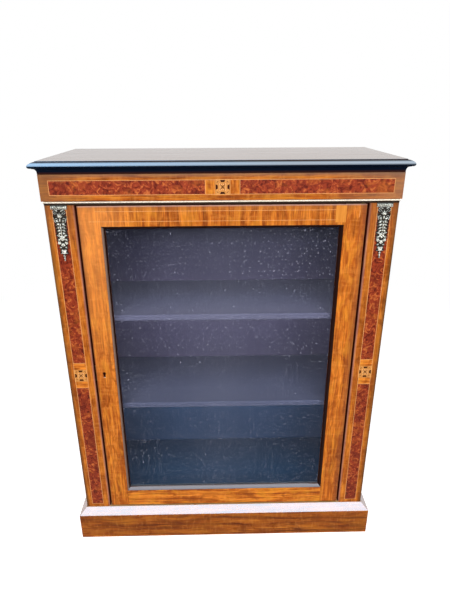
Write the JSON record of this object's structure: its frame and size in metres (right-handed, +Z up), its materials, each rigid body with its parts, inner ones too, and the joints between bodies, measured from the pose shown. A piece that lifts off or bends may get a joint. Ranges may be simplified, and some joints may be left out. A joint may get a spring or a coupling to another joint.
{
  "type": "pier cabinet",
  "caption": "Glazed pier cabinet: a hinged and locking glass door over a cloth-lined interior with shelves, between inlaid pilasters with cast mounts, on a chamfered plinth.",
  "frame": {"origin": "on the floor, under the middle of the whole cabinet's box", "axes": "+Z up, -Y out of the glazed front, +X to the hinge side of the door as seen from the front"},
  "size_m": [0.8188, 0.3374, 1.045],
  "materials": {
    "walnut": "French polished",
    "burr_amboyna": "French polished",
    "boxwood": "French polished",
    "dark_inlay": "French polished",
    "ebonised_wood": "ebonised and polished",
    "deal": "bare, aged",
    "gilt_brass": "cast and lacquered, darkened in the recesses",
    "bright_brass": "polished",
    "glass": "clear, dusty",
    "lining_cloth": "napped",
    "covered_shelf": "covered with the lining cloth"
  },
  "bodies": {
    "carcase": {"plinth_front": "walnut", "plinth_side_left": "walnut", "plinth_side_right": "walnut", "plinth_back_rail": "deal", "plinth_block_left": "deal", "plinth_block_right": "deal", "bottom_board": "deal", "side_panel_left": "walnut", "side_panel_right": "walnut", "dust_board": "deal", "back_boards": "deal", "pilaster_left": "walnut", "pilaster_right": "walnut", "burr_panel_upper_left": "burr_amboyna", "burr_panel_upper_right": "burr_amboyna", "burr_panel_lower_left": "burr_amboyna", "burr_panel_lower_right": "burr_amboyna", "frieze_board": "walnut", "frieze_burr_left": "burr_amboyna", "frieze_burr_right": "burr_amboyna", "frieze_return_left": "walnut", "frieze_return_right": "walnut", "tablet_ground_frieze": "boxwood", "tablet_ground_left": "boxwood", "tablet_ground_right": "boxwood", "tablet_inlay_frieze": "dark_inlay", "tablet_inlay_left": "dark_inlay", "tablet_inlay_right": "dark_inlay", "rope_moulding": "bright_brass", "pilaster_mount_left": "gilt_brass", "pilaster_mount_right": "gilt_brass", "top_panel": "ebonised_wood", "top_moulding_front": "ebonised_wood", "top_moulding_left": "ebonised_wood", "top_moulding_right": "ebonised_wood", "cloth_lining": "lining_cloth", "shelf_upper": "covered_shelf", "shelf_lower": "covered_shelf", "shelf_bearer_upper_left": "walnut", "shelf_bearer_upper_right": "walnut", "shelf_bearer_lower_left": "walnut", "shelf_bearer_lower_right": "walnut", "door_stop": "walnut", "case_pivot_top": "gilt_brass", "case_pivot_bottom": "gilt_brass", "lock_keep": "gilt_brass"},
    "door": {"door_stile_left": "walnut", "door_stile_right": "walnut", "door_rail_top": "walnut", "door_rail_bottom": "walnut", "glass_pane": "glass", "glazing_bead_top": "walnut", "glazing_bead_bottom": "walnut", "glazing_bead_left": "walnut", "glazing_bead_right": "walnut", "door_pivot_plate_top": "gilt_brass", "door_pivot_plate_bottom": "gilt_brass", "lock_case": "gilt_brass", "keyhole_liner": "bright_brass"},
    "bolt": {"lock_bolt": "gilt_brass"}
  },
  "joints": [
    {"name": "door_hinge", "type": "hinge", "parent": "carcase", "child": "door", "pos_m": [0.311, -0.1426, 0.5], "axis": [0, 0, 1], "range_deg": [0, 105]},
    {"name": "lock_bolt_slide", "type": "slide", "parent": "door", "child": "bolt", "axis": [-1, 0, 0], "range_m": [0, 0.0095]}
  ]
}
